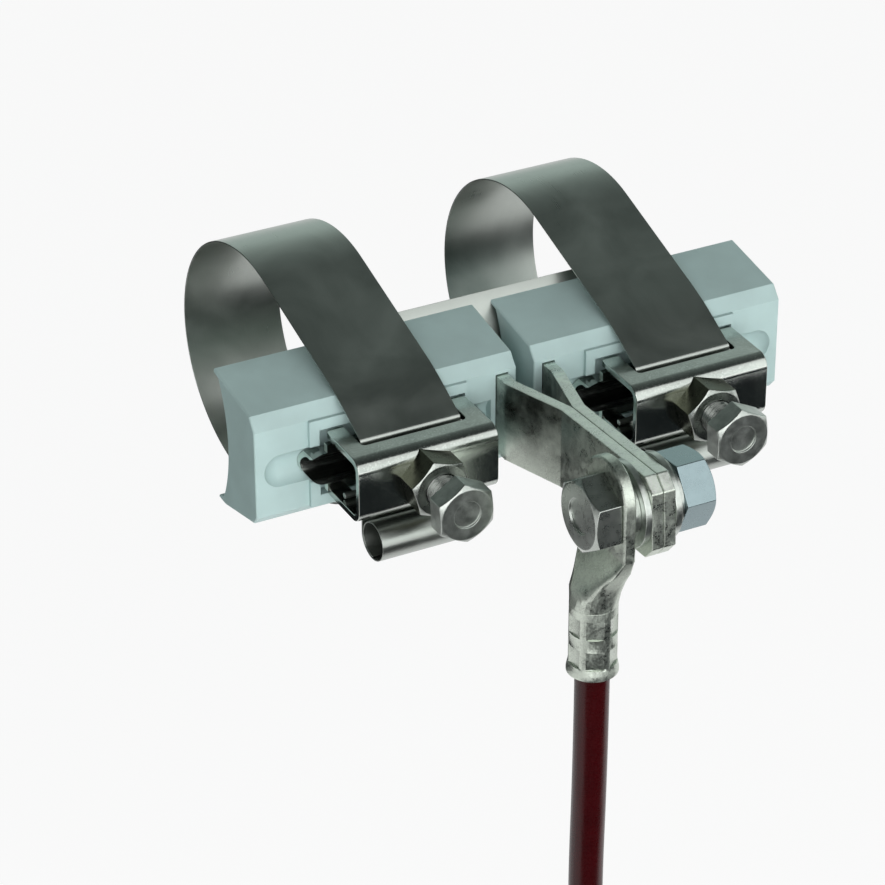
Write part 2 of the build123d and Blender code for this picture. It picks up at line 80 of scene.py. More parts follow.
# Shading: the angle up to which faces blend, and the weight of the flat ones.
SMOOTH = radians(50.0)
FACE_WEIGHT = 80

# Distances from the frame's X axis between which a piece's facets curve about it.
BAND_ARCS = (30.0 * MM, 30.8 * MM)
SADDLE_ARCS = (30.4 * MM, 32.6 * MM)
SHORTEST_ARC = 3.0 * MM
ARC_CUTS = 3
NEAREST_AXIS = 0.1 * MM

# The strap head's fold in the frame's solid, the height over which its shading curves,
# and the distance from the fold's centre within which no point belongs to it.
FOLD_RADIUS = 2.7 * MM
FOLD_FADE = 3.6 * MM
FOLD_CORE = 0.5 * MM

# The painted dark reflection on the contact bars fades from one place outward to the next, and with
# the height.
DARK_REFLECTION_START = -62.0 * MM
DARK_REFLECTION_END = -80.0 * MM
DARK_REFLECTION_LOW = -8.0 * MM
DARK_REFLECTION_HIGH = 1.0 * MM

# The crimped end of a lug's barrel, and the neck above it that takes up the crimps' turn.
CRIMPS_LENGTH = 15.5 * MM
TWIST_LENGTH = 1.9 * MM
TWIST_STEPS = 4
CRIMP_SLACK = 0.05 * MM
CRISP = radians(12.0)

# A thread's ridge: its profile as shares of the pitch, the depth of its bright crest above the
# flanks' painted shade, and how finely it is swept, merged and smoothed.
RIDGE_REACH = 0.56
RIDGE_SQUEEZE = (0.62, 0.98, 1.0)
CREST_SHARE = 0.13
CREST_DEPTH = 0.06 * MM
THREAD_STEPS = 36
THREAD_MERGE = 0.001 * MM
THREAD_SMOOTH = radians(40.0)

# A point belongs to a shank from this far off the axis to this far past the thread's crest.
SHANK_CORE = 0.2 * MM
CREST_SLACK = 0.02 * MM

# Height of a clamp screw's head, and the turns and bare tip of the terminal bolt's thread.
SCREW_HEAD = 5.3 * MM
TERMINAL_TURNS = 14
TERMINAL_TIP = 0.6 * MM

# Width of a dish's slope as a share of its depth.
DISH_SLOPE = 0.8

# Shares of a unit normal along an axis: square to it, facing along it, and at its side.
SQUARE = 0.99
FACING = 0.7
SIDEWAYS = 0.3

# Points that the lead's centre line is drawn to, from the near lug to the far one.
LEAD_ROUTE = (
    (-0.0115, -0.1, -0.037),
    (-0.0115, -0.1, -0.063),
    (-0.01195, -0.09955, -0.099),
    (-0.0115, -0.1, -0.1312),
    (-0.0115, -0.1, -0.1552),
)
LEAD_RADIUS = 4.0 * MM

# The stage: floor, reflection cards, soft lights and camera.
FLOOR_SIZE = 8.0
FLOOR_HEIGHT = -0.215
CARDS = (
    ("front_card", (0.35, -0.62, -0.2), (1.3, 0.9)),
    ("rear_card", (-0.45, 0.55, -0.2), (1.0, 0.8)),
)
LIGHTS_AIM = (0.0, -0.04, -0.02)
LIGHTS = (
    ("key", (-0.56, -1.34, 0.36), (1.5, 1.5), 18.0),
    ("front_panel", (0.47, -1.02, 0.36), (0.9, 1.5), 5.4),
    ("side", (1.5, -0.6, 0.1), (0.5, 0.9), 2.0),
)
LENS = 145.63
SENSOR_WIDTH = 36.0
CAMERA_CLIPS = (0.05, 20.0)
CAMERA_AZIMUTH = -27.322
CAMERA_ELEVATION = 30.375
CAMERA_ROLL = -0.173
CAMERA_DISTANCE = 0.826266
CAMERA_TARGET = (-0.017872, -0.040, -0.008262)


class ClampSizes(bpy.types.PropertyGroup):
    """Sizes of the fine shapes that are added to the frame's solids"""

    saddle_edge: bpy.props.FloatProperty(
        name="Saddle edge", description="Radius of the moulded saddles' edges",
        default=0.35 * MM, unit="LENGTH",
    )
    sheet_edge: bpy.props.FloatProperty(
        name="Sheet edge", description="Radius of the cut edges of the pressed sheet pieces",
        default=0.2 * MM, unit="LENGTH",
    )
    strap_edge: bpy.props.FloatProperty(
        name="Strap edge", description="Radius of the thin straps' edges",
        default=0.06 * MM, unit="LENGTH",
    )
    bar_edge: bpy.props.FloatProperty(
        name="Bar edge", description="Radius of the contact bars' edges",
        default=0.3 * MM, unit="LENGTH",
    )
    fastener_edge: bpy.props.FloatProperty(
        name="Fastener edge", description="Radius of the edges of hexagons and washers",
        default=0.16 * MM, unit="LENGTH",
    )
    lug_edge: bpy.props.FloatProperty(
        name="Lug edge", description="Radius of the cable lugs' edges",
        default=0.3 * MM, unit="LENGTH",
    )
    fold_ease: bpy.props.FloatProperty(
        name="Fold ease", description="How much wider the strap heads' front folds are made",
        default=0.6 * MM, unit="LENGTH",
    )
    weld_depth: bpy.props.FloatProperty(
        name="Weld depth", description="How deep a weld nut sits in the strap head's sheet",
        default=1.3 * MM, unit="LENGTH",
    )
    crimp_turn: bpy.props.FloatProperty(
        name="Crimp turn", description="Turn of the lugs' crimps about the barrel",
        default=radians(24.0), unit="ROTATION",
    )
    clamp_radius: bpy.props.FloatProperty(
        name="Clamp thread radius", description="Crest radius of the clamp screws' thread",
        default=4.0 * MM, unit="LENGTH",
    )
    clamp_root: bpy.props.FloatProperty(
        name="Clamp root", description="Root radius of the clamp screws' thread",
        default=3.3 * MM, unit="LENGTH",
    )
    clamp_pitch: bpy.props.FloatProperty(
        name="Clamp screw pitch", description="Thread pitch of the two clamp screws",
        default=1.25 * MM, unit="LENGTH",
    )
    clamp_rim: bpy.props.FloatProperty(
        name="Clamp rim", description="Width of the rim round a clamp screw's dish",
        default=3.2 * MM, unit="LENGTH",
    )
    clamp_dish: bpy.props.FloatProperty(
        name="Clamp dish", description="Depth of the dish in a clamp screw's head",
        default=0.5 * MM, unit="LENGTH",
    )
    terminal_radius: bpy.props.FloatProperty(
        name="Terminal thread radius", description="Crest radius of the earth terminal's thread",
        default=5.0 * MM, unit="LENGTH",
    )
    terminal_root: bpy.props.FloatProperty(
        name="Terminal root", description="Root radius of the earth terminal's thread",
        default=4.15 * MM, unit="LENGTH",
    )
    terminal_pitch: bpy.props.FloatProperty(
        name="Terminal pitch", description="Thread pitch of the earth terminal's bolt",
        default=1.5 * MM, unit="LENGTH",
    )
    terminal_rim: bpy.props.FloatProperty(
        name="Terminal rim", description="Width of the rim round the terminal bolt's dish",
        default=2.8 * MM, unit="LENGTH",
    )
    terminal_dish: bpy.props.FloatProperty(
        name="Terminal dish", description="Depth of the dish in the terminal bolt's head",
        default=0.55 * MM, unit="LENGTH",
    )


class ClampColours(bpy.types.PropertyGroup):
    """Colours of the clamp's finishes"""

    plastic: bpy.props.FloatVectorProperty(
        name="Saddle plastic", description="Pale grey moulding of the saddles",
        default=(0.48, 0.63, 0.62), subtype="COLOR", size=3, min=0.0, max=1.0,
    )
    stainless: bpy.props.FloatVectorProperty(
        name="Stainless", description="Sheet metal of the heads and straps",
        default=(0.46, 0.49, 0.46), subtype="COLOR", size=3, min=0.0, max=1.0,
    )
    steel: bpy.props.FloatVectorProperty(
        name="Turned steel", description="Nuts, screws, bolt and washers",
        default=(0.46, 0.49, 0.46), subtype="COLOR", size=3, min=0.0, max=1.0,
    )
    # Painted shade: the weld nuts' side facets take this dark colour.
    weld: bpy.props.FloatVectorProperty(
        name="Nut side shade", description="Dark sides of the welded nuts",
        default=(0.10, 0.105, 0.075), subtype="COLOR", size=3, min=0.0, max=1.0,
    )
    zinc: bpy.props.FloatVectorProperty(
        name="Zinc", description="Bright plating of the terminal nut",
        default=(0.29, 0.37, 0.39), subtype="COLOR", size=3, min=0.0, max=1.0,
    )
    tin: bpy.props.FloatVectorProperty(
        name="Tin", description="Tinned surface of the contact bars and cable lugs",
        default=(0.60, 0.65, 0.58), subtype="COLOR", size=3, min=0.0, max=1.0,
    )
    copper: bpy.props.FloatVectorProperty(
        name="Copper", description="Bare strands of the conductor",
        default=(0.72, 0.40, 0.27), subtype="COLOR", size=3, min=0.0, max=1.0,
    )
    insulation: bpy.props.FloatVectorProperty(
        name="Insulation", description="Dark red insulation of the lead",
        default=(0.035, 0.0006, 0.0015), subtype="COLOR", size=3, min=0.0, max=1.0,
    )


class Term:
    """A shader socket that joins in Python arithmetic."""

    def __init__(self, maker, output):
        self.maker = maker
        self.output = output

    def __add__(self, other):
        return self.maker.maths("ADD", self, other)

    def __sub__(self, other):
        return self.maker.maths("SUBTRACT", self, other)

    def __rsub__(self, other):
        return self.maker.maths("SUBTRACT", other, self)

    def __mul__(self, other):
        return self.maker.maths("MULTIPLY", self, other)

    __radd__ = __add__
    __rmul__ = __mul__

    def beside(self, name):
        """Another output of the same node."""
        return Term(self.maker, self.output.node.outputs[name])


class Shading:
    """A node tree in the making."""

    def __init__(self, tree):
        self.tree = tree

    def node(self, kind, settings, inputs, output=0):
        """A node of a kind: its settings, then its sockets' values or links; returns one output."""
        made = self.tree.nodes.new(kind)
        for key, value in settings.items():
            if key == "stops":
                self.set_stops(made.color_ramp, value)
            else:
                setattr(made, key, value)
        for key, value in inputs.items():
            self.join(made.inputs[key], value)
        return Term(self, made.outputs[output])

    def set_stops(self, ramp, stops):
        """Gives a colour ramp its stops, as (position, grey) pairs."""
        while len(ramp.elements) < len(stops):
            ramp.elements.new(0.5)
        for element, (position, grey) in zip(ramp.elements, stops):
            element.position = position
            element.color = (grey, grey, grey, 1.0)

    def join(self, socket, value):
        """Links a term to a socket, or sets the socket's own value."""
        if isinstance(value, Term):
            self.tree.links.new(value.output, socket)
        else:
            socket.default_value = value

    def maths(self, operation, first, second):
        """Result of a maths node."""
        return self.node("ShaderNodeMath", {"operation": operation}, {0: first, 1: second})

    def mixed(self, share, first, second):
        """Colour between two colours."""
        values = {0: share, 6: self.four(first), 7: self.four(second)}
        return self.node("ShaderNodeMix", {"data_type": "RGBA"}, values, 2)

    def four(self, colour):
        """A colour with its alpha, or a term as it is."""
        return colour if isinstance(colour, Term) else (*colour, 1.0)

    def ramp(self, value, *stops):
        """A value remapped by (position, grey) stops."""
        return self.node("ShaderNodeValToRGB", {"stops": stops}, {"Fac": value}, "Color")

    def rising(self, value, low, high, start=0.0, end=1.0):
        """A value that runs from start to end as another rises from low to high."""
        span = {"Value": value, "From Min": low, "From Max": high, "To Min": start, "To Max": end}
        return self.node("ShaderNodeMapRange", {}, span, "Result")


class Finish(Shading):
    """A procedural material in the making, its patterns on Object coordinates."""

    def __init__(self, name, colour, roughness, metallic=0.0):
        self.material = bpy.data.materials.new(name)
        self.material.use_nodes = True
        super().__init__(self.material.node_tree)
        self.shader = self.tree.nodes["Principled BSDF"]
        self.set("Base Color", (*colour, 1.0))
        self.set("Roughness", roughness)
        self.set("Metallic", metallic)
        self.place = self.node("ShaderNodeTexCoord", {}, {}, "Object")

    def set(self, name, value):
        """Gives the shader a value or a link on one socket."""
        self.join(self.shader.inputs[name], value)

    def tones(self, share, colour, dark, light):
        """Varies the colour between a darker and a lighter share of itself."""
        self.set("Base Color", self.mixed(share, shade(colour, dark), shade(colour, light)))

    def stretched(self, scale):
        """Object coordinates scaled along each axis."""
        return self.node("ShaderNodeMapping", {}, {"Vector": self.place, "Scale": scale})

    def noise(self, scale, detail=2.0, rough=0.5, stretch=None, warp=0.0):
        """Soft noise; its scale is in cells per metre, or given along each axis by a stretch."""
        values = {
            "Vector": self.stretched(stretch) if stretch else self.place,
            "Scale": scale,
            "Detail": detail,
            "Roughness": rough,
            "Distortion": warp,
        }
        return self.node("ShaderNodeTexNoise", {}, values, "Fac")

    def relief(self, height, distance):
        """Fine relief on the surface, its height in metres for a change of one."""
        values = {"Strength": 1.0, "Distance": distance, "Height": height}
        self.set("Normal", self.node("ShaderNodeBump", {}, values, "Normal"))


def shade(colour, share):
    """A colour made darker or lighter."""
    return tuple(min(1.0, channel * share) for channel in colour)


def saddle_plastic(colour):
    """Satin moulded plastic with a faint grain and slight tone drift."""
    made = Finish("saddle_plastic", colour, 0.42)
    drift = made.ramp(made.noise(90.0, 3.0), (0.35, 0.0), (0.65, 1.0))
    made.tones(drift, colour, 0.95, 1.04)
    made.set("Roughness", 0.38 + 0.10 * made.noise(700.0, 3.0))
    made.relief(made.noise(5200.0, 3.0, 0.6), 0.03 * MM)
    return made.material


def strap_stainless(colour):
    """Brushed stainless band with cloudy patches and fine lines along its length."""
    made = Finish("strap_stainless", colour, 0.3, 1.0)
    clouds = made.ramp(made.noise(55.0, 4.0, 0.55, warp=0.6), (0.3, 0.0), (0.7, 1.0))
    lines = made.noise(1.0, 3.0, 0.6, stretch=(5200.0, 90.0, 90.0))
    made.tones(clouds, colour, 0.78, 1.08)
    made.set("Roughness", 0.22 + 0.12 * clouds + 0.10 * lines)
    made.relief(lines, 0.012 * MM)
    return made.material


def head_stainless(name, colour, fold):
    """Cold rolled stainless sheet, finely speckled, that curves a little below its fold."""
    made = Finish(name, colour, 0.28, 1.0)
    grain = made.ramp(made.noise(2300.0, 3.0, 0.7), (0.52, 0.0), (0.72, 1.0))
    clouds = made.ramp(made.noise(150.0, 4.0, 0.6), (0.3, 0.0), (0.7, 1.0))
    tone = made.mixed(clouds, shade(colour, 0.86), shade(colour, 1.12))
    made.set("Base Color", made.mixed(0.6 * grain, tone, shade(colour, 1.5)))
    made.set("Roughness", 0.15 + 0.06 * clouds + 0.06 * grain)
    height = made.node("ShaderNodeSeparateXYZ", {}, {0: made.place}, "Z")
    bend = made.rising(height, fold - FOLD_FADE, fold)
    made.relief(0.005 * grain + 0.003 * clouds - 0.3 * (bend * bend), MM)
    return made.material


def plain_stainless(name, colour):
    """Plain drawn or rolled stainless for pins, hidden sheet and the painted highlight on the
    pressure plates' ends.
    """
    made = Finish(name, colour, 0.35, 1.0)
    clouds = made.noise(260.0, 3.0)
    made.tones(clouds, colour, 0.85, 1.1)
    made.set("Roughness", 0.28 + 0.16 * clouds)
    return made.material


def turned_steel(name, colour, roughness, wear=1.0):
    """Forged and machined fastener steel: mottled, with faint tool marks that deepen with wear."""
    made = Finish(name, colour, roughness, 1.0)
    mottle = made.ramp(made.noise(420.0, 4.0, 0.6), (0.3, 0.0), (0.7, 1.0))
    dents = made.noise(1000.0, 2.0, 0.5)
    marks = made.noise(3200.0, 3.0, 0.6)
    made.tones(mottle, colour, 1.0 - 0.22 * wear, 1.0 + 0.18 * wear)
    made.set("Roughness", roughness - 0.10 + 0.08 * mottle + 0.10 * marks)
    made.relief(0.15 * marks + 0.15 * mottle + dents, 0.024 * wear * MM)
    return made.material


def tinned(name, colour, patch_scale, dark_reflection=0.0):
    """Tinned metal: patches, duller and brighter, with a lumpy skin, and a painted dark reflection
    beside the saddles.
    """
    made = Finish(name, colour, 0.4, 1.0)
    patches = made.ramp(made.noise(patch_scale, 5.0, 0.62, warp=0.8), (0.36, 0.0), (0.62, 1.0))
    lumps = made.noise(1500.0, 3.0, 0.6)
    speck = made.ramp(made.noise(2600.0, 3.0, 0.7), (0.42, 0.0), (0.60, 1.0))
    tone = made.mixed(patches, shade(colour, 0.62), shade(colour, 1.06))
    depth = made.node("ShaderNodeSeparateXYZ", {}, {0: made.place}, "Y")
    near = made.rising(depth, DARK_REFLECTION_END, DARK_REFLECTION_START)
    upper = made.rising(depth.beside("Z"), DARK_REFLECTION_LOW, DARK_REFLECTION_HIGH)
    cloud = made.ramp(made.noise(140.0, 4.0, 0.6), (0.35, 0.3), (0.6, 1.0))
    bright = made.mixed(0.5 * speck, tone, shade(colour, 1.3))
    # Painted dark reflection: beside the saddles the colour goes towards a near-black tone, by
    # place, height and a cloud.
    made.set("Base Color", made.mixed(dark_reflection * (near * upper * cloud), bright, shade(colour, 0.12)))
    made.set("Roughness", 0.24 + 0.16 * patches + 0.10 * speck)
    made.relief(lumps + 0.5 * patches, 0.014 * MM)
    return made.material


def bare_copper(colour):
    """Stranded copper, its strands as twisted ridges."""
    made = Finish("bare_copper", colour, 0.3, 1.0)
    values = {"Vector": made.stretched((1600.0, 1600.0, 300.0)), "Scale": 1.0}
    strands = made.node("ShaderNodeTexWave", {"bands_direction": "DIAGONAL"}, values, "Fac")
    made.tones(strands, colour, 0.45, 1.1)
    made.set("Roughness", 0.25 + 0.2 * made.noise(900.0))
    made.relief(strands, 0.15 * MM)
    return made.material


def lead_insulation(colour):
    """Glossy dark red insulation with a soft extruded waviness."""
    made = Finish("lead_insulation", colour, 0.26)
    made.tones(made.noise(160.0, 3.0), colour, 0.75, 1.35)
    made.set("Roughness", 0.22 + 0.12 * made.noise(1200.0, 3.0))
    made.set("Specular IOR Level", 0.3)
    made.relief(made.noise(1.0, 2.0, stretch=(420.0, 420.0, 60.0)), 0.12 * MM)
    return made.material


def painted_floor():
    """Pale floor with the object's shadow, nearly white to the camera and in the metal."""
    made = Finish("studio_floor", (0.92, 0.92, 0.92), 0.6)
    made.set("Base Color", made.mixed(made.noise(3.0, 2.0), (0.90, 0.91, 0.91), (0.93, 0.94, 0.94)))
    camera = made.node("ShaderNodeLightPath", {}, {}, "Is Camera Ray")
    glossy = camera.beside("Is Glossy Ray")
    through = camera.beside("Is Transmission Ray")
    seen = made.maths("MAXIMUM", camera, made.maths("MAXIMUM", glossy, through))
    glow = {"Color": (1.0, 1.0, 1.0, 1.0), "Strength": 1.0}
    white = made.node("ShaderNodeEmission", {}, glow, "Emission")
    plain = Term(made, made.shader.outputs["BSDF"])
    both = made.node("ShaderNodeMixShader", {}, {0: 0.92 * seen, 1: plain, 2: white}, "Shader")
    made.join(made.tree.nodes["Material Output"].inputs["Surface"], both)
    return made.material


def dark_card():
    """Deep grey cloth of the cards that darken reflections."""
    made = Finish("dark_card", (0.02, 0.024, 0.026), 0.9)
    made.set("Specular IOR Level", 0.0)
    weave = made.noise(60.0, 2.0)
    made.set("Base Color", made.mixed(weave, (0.018, 0.022, 0.024), (0.028, 0.034, 0.037)))
    return made.material


def studio_world():
    """Dim studio, paler near the horizon than overhead, and darker to the left and in front."""
    world = bpy.data.worlds.new("studio")
    world.use_nodes = True
    studio = Shading(world.node_tree)
    way = studio.node("ShaderNodeTexCoord", {}, {}, "Generated")
    height = studio.node("ShaderNodeSeparateXYZ", {}, {0: way}, "Z")
    rise = studio.ramp(height, (0.0, 0.85), (0.38, 1.0), (0.52, 0.5), (0.75, 0.2), (0.92, 0.14))
    right = studio.rising(height.beside("X"), -0.5, 0.1, 0.2, 1.0)
    behind = studio.rising(height.beside("Y"), -0.3, 0.3, 0.4, 1.0)
    tone = studio.mixed(rise * right * behind, (0.0, 0.0, 0.0), (0.68, 0.80, 0.76))
    background = studio.tree.nodes["Background"]
    studio.join(background.inputs["Color"], tone)
    studio.join(background.inputs["Strength"], 1.0)
    return world


def middle(node, axis):
    """Middle of a node's box along one axis."""
    low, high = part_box(node)
    return (low[axis] + high[axis]) / 2


def piece_box(piece):
    """Lowest and highest corner of a piece's mesh."""
    corners = [vertex.co for vertex in piece.data.vertices]
    low = Vector([min(corner[axis] for corner in corners) for axis in range(3)])
    high = Vector([max(corner[axis] for corner in corners) for axis in range(3)])
    return low, high


def only(piece):
    """Makes a piece the one selected and active object."""
    bpy.ops.object.select_all(action="DESELECT")
    piece.select_set(True)
    bpy.context.view_layer.objects.active = piece


def finish_modifiers(piece):
    """Applies a piece's modifiers in their order."""
    only(piece)
    for modifier in list(piece.modifiers):
        bpy.ops.object.modifier_apply(modifier=modifier.name)


def welded_copy(node):
    """A copy of a frame node's mesh, its loose triangles merged into faces."""
    piece = bpy.data.objects.new(node + "_piece", frame["nodes"][node].data.copy())
    bpy.context.scene.collection.objects.link(piece)
    piece.data.materials.clear()
    only(piece)
    bpy.ops.mesh.customdata_custom_splitnormals_clear()
    bpy.ops.object.mode_set(mode="EDIT")
    bpy.ops.mesh.select_all(action="SELECT")
    bpy.ops.mesh.remove_doubles(threshold=MERGE)
    bpy.ops.mesh.dissolve_limited(angle_limit=FLAT)
    bpy.ops.object.mode_set(mode="OBJECT")
    return piece


def rounded_arcs(piece, nearest, farthest):
    """Divides the long facets that curve about the X axis, and sets them on their radius."""
    mesh = bmesh.new()
    mesh.from_mesh(piece.data)
    reach = mesh.verts.layers.float.new("reach")
    for vertex in mesh.verts:
        vertex[reach] = vertex.co.yz.length

    def curves(edge):
        first, second = edge.verts
        level = abs(first[reach] - second[reach]) < TOUCH and nearest < first[reach] < farthest
        run = first.co - second.co
        return level and run.yz.length > SHORTEST_ARC and abs(run.x) < run.yz.length

    arcs = [edge for edge in mesh.edges if curves(edge)]
    bmesh.ops.subdivide_edges(mesh, edges=arcs, cuts=ARC_CUTS, use_grid_fill=True)
    for vertex in mesh.verts:
        share = vertex[reach] / max(vertex.co.yz.length, NEAREST_AXIS)
        vertex.co.y *= share
        vertex.co.z *= share
    mesh.to_mesh(piece.data)
    mesh.free()


def soften(piece, width, segments=2, angle=28.0, careful=False):
    """Rounds a piece's sharp edges and smooths its shading; careful keeps rounds from crossing."""
    bevel = piece.modifiers.new("edges", "BEVEL")
    bevel.width = width
    bevel.segments = segments
    bevel.limit_method = "ANGLE"
    bevel.angle_limit = radians(angle)
    bevel.use_clamp_overlap = careful
    finish_modifiers(piece)
    bpy.ops.object.shade_smooth_by_angle(angle=SMOOTH)
    weighted = piece.modifiers.new("flat faces", "WEIGHTED_NORMAL")
    weighted.keep_sharp = True
    weighted.weight = FACE_WEIGHT
    finish_modifiers(piece)


def place_on(piece, node, material):
    """A piece takes the place, the body and the material of a frame node."""
    piece.data.materials.append(material)
    body = frame["nodes"][node]["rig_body"]
    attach(piece, body)
    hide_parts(node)


def dressed(node, width, material, slot, arcs=None, **rounds):
    """A finished copy of a node with soft edges, rounded as soften says, and its material."""
    piece = welded_copy(node)
    if arcs:
        rounded_arcs(piece, *arcs)
    soften(piece, width, **rounds)
    place_on(piece, node, material)
    return piece


def second_finish(piece, material, test):
    """Gives the faces of a piece whose middle and normal pass a test their own material."""
    piece.data.materials.append(material)
    for face in piece.data.polygons:
        if test(face.center, face.normal):
            face.material_index = 1


def eased_folds(head, ease):
    """Gives a folded head's two front bends a wider radius."""
    low, high = piece_box(head)
    front = low.y + FOLD_RADIUS
    reach = FOLD_RADIUS + TOUCH
    for vertex in head.data.vertices:
        place = vertex.co
        for edge, up in ((high.z, 1), (low.z, -1)):
            corner = Vector((front, edge - up * FOLD_RADIUS))
            out = Vector((place.y, place.z)) - corner
            bends = place.y < low.y + reach and (edge - place.z) * up < reach
            if bends and out.length > FOLD_CORE:
                wide = corner + ease * Vector((1, -up)) + out.normalized() * (out.length + ease)
                place.y, place.z = wide
                break


def barrel_end(lug, away):
    """Height of the end of a lug's barrel; away is the way from the palm to it, -1 for down."""
    return piece_box(lug)[0 if away < 0 else 1].z


def turned_crimps(lug, away, turn):
    """Twists a lug's round barrel below its neck, so that a crimp's flat turns to the left."""
    axis = Vector((middle("conductor", 0), middle("conductor", 1), 0.0))
    end = barrel_end(lug, away)
    mesh = bmesh.new()
    mesh.from_mesh(lug.data)
    for step in range(TWIST_STEPS + 1):
        level = end - away * (CRIMPS_LENGTH + step * TWIST_LENGTH / TWIST_STEPS)
        parts = mesh.verts[:] + mesh.edges[:] + mesh.faces[:]
        bmesh.ops.bisect_plane(mesh, geom=parts, plane_co=(0, 0, level), plane_no=(0, 0, 1))
    for vertex in mesh.verts:
        past = (CRIMPS_LENGTH + TWIST_LENGTH - (end - vertex.co.z) * away) / TWIST_LENGTH
        twist = Matrix.Rotation(-turn * min(1.0, max(0.0, past)), 4, "Z")
        vertex.co = axis + twist @ (vertex.co - axis)
    mesh.to_mesh(lug.data)
    mesh.free()


def sharpened(lug, away):
    """Keeps the edges of a lug's crimps crisp."""
    level = barrel_end(lug, away) - away * CRIMPS_LENGTH
    mesh = bmesh.new()
    mesh.from_mesh(lug.data)
    for edge in mesh.edges:
        beyond = all((vertex.co.z - level) * away > -CRIMP_SLACK for vertex in edge.verts)
        if beyond and len(edge.link_faces) == 2 and edge.calc_face_angle() > CRISP:
            edge.smooth = False
    mesh.to_mesh(lug.data)
    mesh.free()


def dish_head(piece, axis, rim, depth):
    """Presses a shallow round dish into the outer face of a hexagon head."""
    end = piece_box(piece)[0][axis]
    only(piece)
    bpy.ops.object.mode_set(mode="EDIT")
    bpy.ops.mesh.select_mode(type="FACE")
    bpy.ops.mesh.select_all(action="DESELECT")
    mesh = bmesh.from_edit_mesh(piece.data)
    for face in mesh.faces:
        at_end = abs(face.calc_center_median()[axis] - end) < TOUCH
        face.select = at_end and face.normal[axis] < -SQUARE
    bmesh.update_edit_mesh(piece.data)
    bpy.ops.mesh.inset(thickness=rim, depth=0.0)
    bpy.ops.mesh.inset(thickness=DISH_SLOPE * depth, depth=-depth)
    bpy.ops.object.mode_set(mode="OBJECT")


def slimmed_shank(piece, axis, centre, crest, root):
    """Draws a shank in from the crest radius of its thread to the root."""
    for vertex in piece.data.vertices:
        offset = vertex.co - centre
        offset[axis] = 0.0
        if SHANK_CORE < offset.length < crest + CREST_SLACK:
            scale = root / offset.length
            for other in range(3):
                if other != axis:
                    vertex.co[other] = centre[other] + offset[other] * scale


def thread_ridge(name, start, axis, crest, pitch, turns):
    """Helical ridge of a screw thread: a triangle with a flat tip swept round the screw's axis."""
    bpy.ops.object.select_all(action="DESELECT")
    bpy.ops.mesh.primitive_circle_add(
        vertices=3, radius=RIDGE_REACH * pitch, location=start, rotation=(0, 0, -pi / 2)
    )
    ridge = bpy.context.object
    ridge.name = name
    bpy.ops.object.transform_apply(location=False, rotation=True, scale=False)
    bpy.ops.object.mode_set(mode="EDIT")
    bpy.ops.mesh.select_all(action="SELECT")
    bpy.ops.transform.resize(value=RIDGE_SQUEEZE)
    profile = bmesh.from_edit_mesh(ridge.data)
    tip = max(profile.verts, key=lambda vertex: vertex.co.x)
    flat = CREST_SHARE * pitch
    bmesh.ops.bevel(profile, geom=[tip], offset=flat, segments=1, affect="VERTICES")
    reach = max(vertex.co.x for vertex in profile.verts)
    bmesh.update_edit_mesh(ridge.data)
    bpy.ops.mesh.select_all(action="SELECT")
    bpy.ops.transform.translate(value=(crest - reach, 0, 0))
    bpy.ops.object.mode_set(mode="OBJECT")
    if axis == "X":
        ridge.rotation_euler = (0, 0, pi / 2)
        bpy.ops.object.transform_apply(location=False, rotation=True, scale=False)
    sweep = ridge.modifiers.new("thread", "SCREW")
    sweep.axis = axis
    sweep.angle = 2 * pi
    sweep.screw_offset = pitch
    sweep.iterations = turns
    sweep.steps = THREAD_STEPS
    sweep.render_steps = THREAD_STEPS
    finish_modifiers(ridge)
    bpy.ops.object.transform_apply(location=True, rotation=False, scale=False)
    bpy.ops.object.mode_set(mode="EDIT")
    bpy.ops.mesh.select_all(action="SELECT")
    bpy.ops.mesh.remove_doubles(threshold=THREAD_MERGE)
    bpy.ops.mesh.normals_make_consistent(inside=False)
    bpy.ops.object.mode_set(mode="OBJECT")
    bpy.ops.object.shade_smooth_by_angle(angle=THREAD_SMOOTH)
    return ridge


def bright_crest(ridge, painted_shade_flanks, bright, centre, axis, crest):
    """Gives a thread's flanks a darker steel as painted shade, and its crest the bright one."""
    ridge.data.materials.append(painted_shade_flanks)

    def on_crest(place, normal):
        offset = place - centre
        offset[axis] = 0.0
        return offset.length > crest - CREST_DEPTH

    second_finish(ridge, bright, on_crest)


class CLAMP_OT_saddles(bpy.types.Operator):
    """Add the two moulded saddles"""

    bl_idname = "clamp.saddles"
    bl_label = "Saddles"

    def execute(self, context):
        width = context.scene.clamp_sizes.saddle_edge
        material = saddle_plastic(context.scene.clamp_colours.plastic)
        rounds = {"segments": 3, "angle": 24.0, "careful": True}
        for side in SIDES:
            dressed("saddle_" + side, width, material, "saddle_plastic", SADDLE_ARCS, **rounds)
        return {"FINISHED"}


class CLAMP_OT_straps(bpy.types.Operator):
    """Add the two bands with their anchor pins, and the contact sheet behind them"""

    bl_idname = "clamp.straps"
    bl_label = "Straps"

    def execute(self, context):
        width = context.scene.clamp_sizes.strap_edge
        colour = context.scene.clamp_colours.stainless
        band = strap_stainless(colour)
        plain = plain_stainless("plain_stainless", colour)
        for side in SIDES:
            dressed("strap_" + side, width, band, "strap_stainless", BAND_ARCS, angle=60.0)
            dressed("strap_pin_" + side, width, plain, "pin_stainless")
        dressed("contact_sheet", width, plain, "sheet_stainless", BAND_ARCS, angle=60.0)
        return {"FINISHED"}


